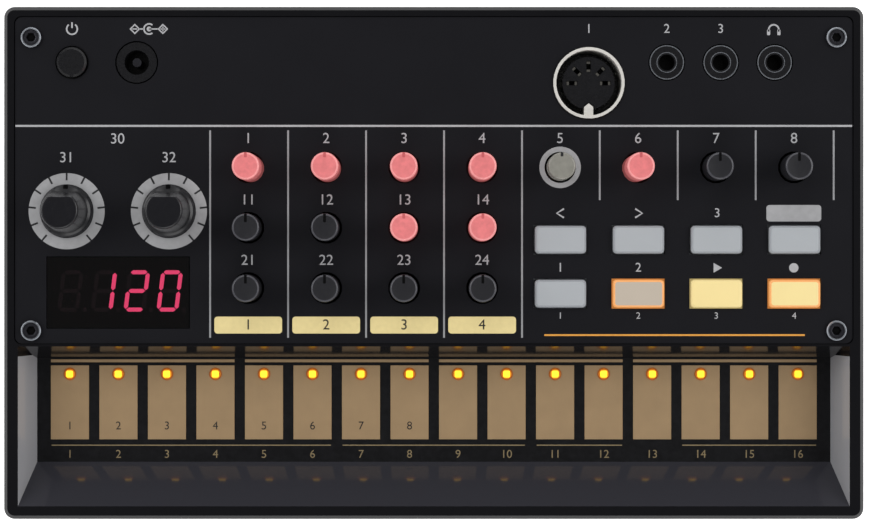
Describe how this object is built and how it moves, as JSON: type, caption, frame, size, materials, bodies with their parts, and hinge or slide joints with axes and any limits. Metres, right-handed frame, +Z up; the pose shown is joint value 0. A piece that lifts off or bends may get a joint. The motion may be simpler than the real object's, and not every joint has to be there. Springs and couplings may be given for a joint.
{
  "type": "drum machine",
  "caption": "Flat pocket drum machine with knobs, keys, a digit window, sockets and a sunken touch strip under a slim black case.",
  "frame": {"origin": "bottom centre of the bounding box, on the table under the middle of the case", "axes": "+X along the width to the player's right, +Y to the back where the sockets are, +Z up"},
  "size_m": [0.193, 0.115, 0.046],
  "materials": {
    "smoke_shell": "glossy smoke-tinted plastic",
    "tub_plastic": "fine-grained black plastic",
    "panel_print": "matt black print",
    "black_screw": "black-oxide steel",
    "zinc_screw": "zinc plated",
    "foot_rubber": "matt rubber",
    "battery_can": "printed cell jacket",
    "contact_nickel": "nickel plated",
    "board_green": "solder mask",
    "board_black": "black solder mask",
    "cable_film": "white film",
    "gold_pad": "dull gold plate",
    "amber_lamp": "lit lamp",
    "window_red": "smoked red window",
    "module_black": "potted digit block",
    "pot_housing": "moulded housing",
    "switch_housing": "moulded housing",
    "white_lamp": "lamp chip",
    "socket_black": "black moulding",
    "din_ring": "bright plated shell",
    "speaker_frame": "pressed steel",
    "speaker_paper": "pressed paper",
    "magnet_ferrite": "ferrite",
    "button_black": "black plastic",
    "large_knob_black": "smooth black plastic",
    "knob_pink": "translucent, lit red from below",
    "knob_black": "smooth black plastic",
    "knob_clear": "translucent clear plastic",
    "key_grey": "translucent grey rubber",
    "key_step": "translucent rubber, lit orange at its rim",
    "key_lit": "translucent rubber, lit from below"
  },
  "bodies": {
    "case": {"upper_case": "smoke_shell", "lower_case": "tub_plastic", "top_panel": "panel_print", "panel_screws": "black_screw", "case_screws": "zinc_screw", "rubber_feet": "foot_rubber", "batteries": "battery_can", "battery_contacts": "contact_nickel", "main_board": "board_green", "touch_strip_board": "board_black", "board_cable": "cable_film", "touch_pads": "gold_pad", "strip_lamps": "amber_lamp", "display_window": "window_red", "display_module": "module_black", "small_pots": "pot_housing", "large_pots": "pot_housing", "key_switches": "switch_housing", "panel_lamps": "white_lamp", "power_switch": "switch_housing", "dc_jack": "socket_black", "dc_jack_pin": "contact_nickel", "din_shell": "din_ring", "din_insert": "socket_black", "din_contacts": "contact_nickel", "speaker_frame": "speaker_frame", "speaker_cone": "speaker_paper", "speaker_magnet": "magnet_ferrite", "sync_in_jack": "socket_black", "sync_out_jack": "socket_black", "phones_jack": "socket_black"},
    "time_knob": {"time_knob": "large_knob_black"},
    "depth_knob": {"depth_knob": "large_knob_black"},
    "voice_1_knob_1": {"voice_1_knob_1": "knob_pink"},
    "voice_1_knob_2": {"voice_1_knob_2": "knob_black"},
    "voice_1_knob_3": {"voice_1_knob_3": "knob_black"},
    "voice_2_knob_1": {"voice_2_knob_1": "knob_pink"},
    "voice_2_knob_2": {"voice_2_knob_2": "knob_black"},
    "voice_2_knob_3": {"voice_2_knob_3": "knob_black"},
    "voice_3_knob_1": {"voice_3_knob_1": "knob_pink"},
    "voice_3_knob_2": {"voice_3_knob_2": "knob_pink"},
    "voice_3_knob_3": {"voice_3_knob_3": "knob_black"},
    "voice_4_knob_1": {"voice_4_knob_1": "knob_pink"},
    "voice_4_knob_2": {"voice_4_knob_2": "knob_pink"},
    "voice_4_knob_3": {"voice_4_knob_3": "knob_black"},
    "speed_knob": {"speed_knob": "knob_clear"},
    "tempo_knob": {"tempo_knob": "knob_pink"},
    "level_knob": {"level_knob": "knob_black"},
    "volume_knob": {"volume_knob": "knob_black"},
    "back_key": {"back_key": "key_grey"},
    "forward_key": {"forward_key": "key_grey"},
    "mute_key": {"mute_key": "key_grey"},
    "function_key": {"function_key": "key_grey"},
    "memory_key": {"memory_key": "key_grey"},
    "step_key": {"step_key": "key_step"},
    "play_key": {"play_key": "key_lit"},
    "record_key": {"record_key": "key_lit"},
    "power_button": {"power_button": "button_black"},
    "battery_cover": {"battery_cover": "tub_plastic"}
  },
  "joints": [
    {"name": "time_knob_turn", "type": "hinge", "parent": "case", "child": "time_knob", "pos_m": [-0.0824, 0.0116, 0.0337], "axis": [0, 0, 1], "range_deg": [-140, 140]},
    {"name": "depth_knob_turn", "type": "hinge", "parent": "case", "child": "depth_knob", "pos_m": [-0.05945, 0.0116, 0.0337], "axis": [0, 0, 1], "range_deg": [-140, 140]},
    {"name": "voice_1_knob_1_turn", "type": "hinge", "parent": "case", "child": "voice_1_knob_1", "pos_m": [-0.04165, 0.02145, 0.0337], "axis": [0, 0, 1], "range_deg": [-140, 140]},
    {"name": "voice_1_knob_2_turn", "type": "hinge", "parent": "case", "child": "voice_1_knob_2", "pos_m": [-0.04165, 0.0079, 0.0337], "axis": [0, 0, 1], "range_deg": [-140, 140]},
    {"name": "voice_1_knob_3_turn", "type": "hinge", "parent": "case", "child": "voice_1_knob_3", "pos_m": [-0.04165, -0.00565, 0.0337], "axis": [0, 0, 1], "range_deg": [-140, 140]},
    {"name": "voice_2_knob_1_turn", "type": "hinge", "parent": "case", "child": "voice_2_knob_1", "pos_m": [-0.02415, 0.02145, 0.0337], "axis": [0, 0, 1], "range_deg": [-140, 140]},
    {"name": "voice_2_knob_2_turn", "type": "hinge", "parent": "case", "child": "voice_2_knob_2", "pos_m": [-0.02415, 0.0079, 0.0337], "axis": [0, 0, 1], "range_deg": [-140, 140]},
    {"name": "voice_2_knob_3_turn", "type": "hinge", "parent": "case", "child": "voice_2_knob_3", "pos_m": [-0.02415, -0.00565, 0.0337], "axis": [0, 0, 1], "range_deg": [-140, 140]},
    {"name": "voice_3_knob_1_turn", "type": "hinge", "parent": "case", "child": "voice_3_knob_1", "pos_m": [-0.00665, 0.02145, 0.0337], "axis": [0, 0, 1], "range_deg": [-140, 140]},
    {"name": "voice_3_knob_2_turn", "type": "hinge", "parent": "case", "child": "voice_3_knob_2", "pos_m": [-0.00665, 0.0079, 0.0337], "axis": [0, 0, 1], "range_deg": [-140, 140]},
    {"name": "voice_3_knob_3_turn", "type": "hinge", "parent": "case", "child": "voice_3_knob_3", "pos_m": [-0.00665, -0.00565, 0.0337], "axis": [0, 0, 1], "range_deg": [-140, 140]},
    {"name": "voice_4_knob_1_turn", "type": "hinge", "parent": "case", "child": "voice_4_knob_1", "pos_m": [0.01085, 0.02145, 0.0337], "axis": [0, 0, 1], "range_deg": [-140, 140]},
    {"name": "voice_4_knob_2_turn", "type": "hinge", "parent": "case", "child": "voice_4_knob_2", "pos_m": [0.01085, 0.0079, 0.0337], "axis": [0, 0, 1], "range_deg": [-140, 140]},
    {"name": "voice_4_knob_3_turn", "type": "hinge", "parent": "case", "child": "voice_4_knob_3", "pos_m": [0.01085, -0.00565, 0.0337], "axis": [0, 0, 1], "range_deg": [-140, 140]},
    {"name": "speed_knob_turn", "type": "hinge", "parent": "case", "child": "speed_knob", "pos_m": [0.02835, 0.02145, 0.0337], "axis": [0, 0, 1], "range_deg": [-140, 140]},
    {"name": "tempo_knob_turn", "type": "hinge", "parent": "case", "child": "tempo_knob", "pos_m": [0.04585, 0.02145, 0.0337], "axis": [0, 0, 1], "range_deg": [-140, 140]},
    {"name": "level_knob_turn", "type": "hinge", "parent": "case", "child": "level_knob", "pos_m": [0.06335, 0.02145, 0.0337], "axis": [0, 0, 1], "range_deg": [-140, 140]},
    {"name": "volume_knob_turn", "type": "hinge", "parent": "case", "child": "volume_knob", "pos_m": [0.08085, 0.02145, 0.0337], "axis": [0, 0, 1], "range_deg": [-140, 140]},
    {"name": "back_key_press", "type": "slide", "parent": "case", "child": "back_key", "axis": [0, 0, 1], "range_m": [-0.0008, 0], "stiffness_N_per_m": 800},
    {"name": "forward_key_press", "type": "slide", "parent": "case", "child": "forward_key", "axis": [0, 0, 1], "range_m": [-0.0008, 0], "stiffness_N_per_m": 800},
    {"name": "mute_key_press", "type": "slide", "parent": "case", "child": "mute_key", "axis": [0, 0, 1], "range_m": [-0.0008, 0], "stiffness_N_per_m": 800},
    {"name": "function_key_press", "type": "slide", "parent": "case", "child": "function_key", "axis": [0, 0, 1], "range_m": [-0.0008, 0], "stiffness_N_per_m": 800},
    {"name": "memory_key_press", "type": "slide", "parent": "case", "child": "memory_key", "axis": [0, 0, 1], "range_m": [-0.0008, 0], "stiffness_N_per_m": 800},
    {"name": "step_key_press", "type": "slide", "parent": "case", "child": "step_key", "axis": [0, 0, 1], "range_m": [-0.0008, 0], "stiffness_N_per_m": 800},
    {"name": "play_key_press", "type": "slide", "parent": "case", "child": "play_key", "axis": [0, 0, 1], "range_m": [-0.0008, 0], "stiffness_N_per_m": 800},
    {"name": "record_key_press", "type": "slide", "parent": "case", "child": "record_key", "axis": [0, 0, 1], "range_m": [-0.0008, 0], "stiffness_N_per_m": 800},
    {"name": "power_button_press", "type": "slide", "parent": "case", "child": "power_button", "axis": [0, 0, 1], "range_m": [-0.0015, 0], "stiffness_N_per_m": 800},
    {"name": "battery_cover_slide", "type": "slide", "parent": "case", "child": "battery_cover", "axis": [0, 1, 0], "range_m": [0, 0.012]}
  ]
}
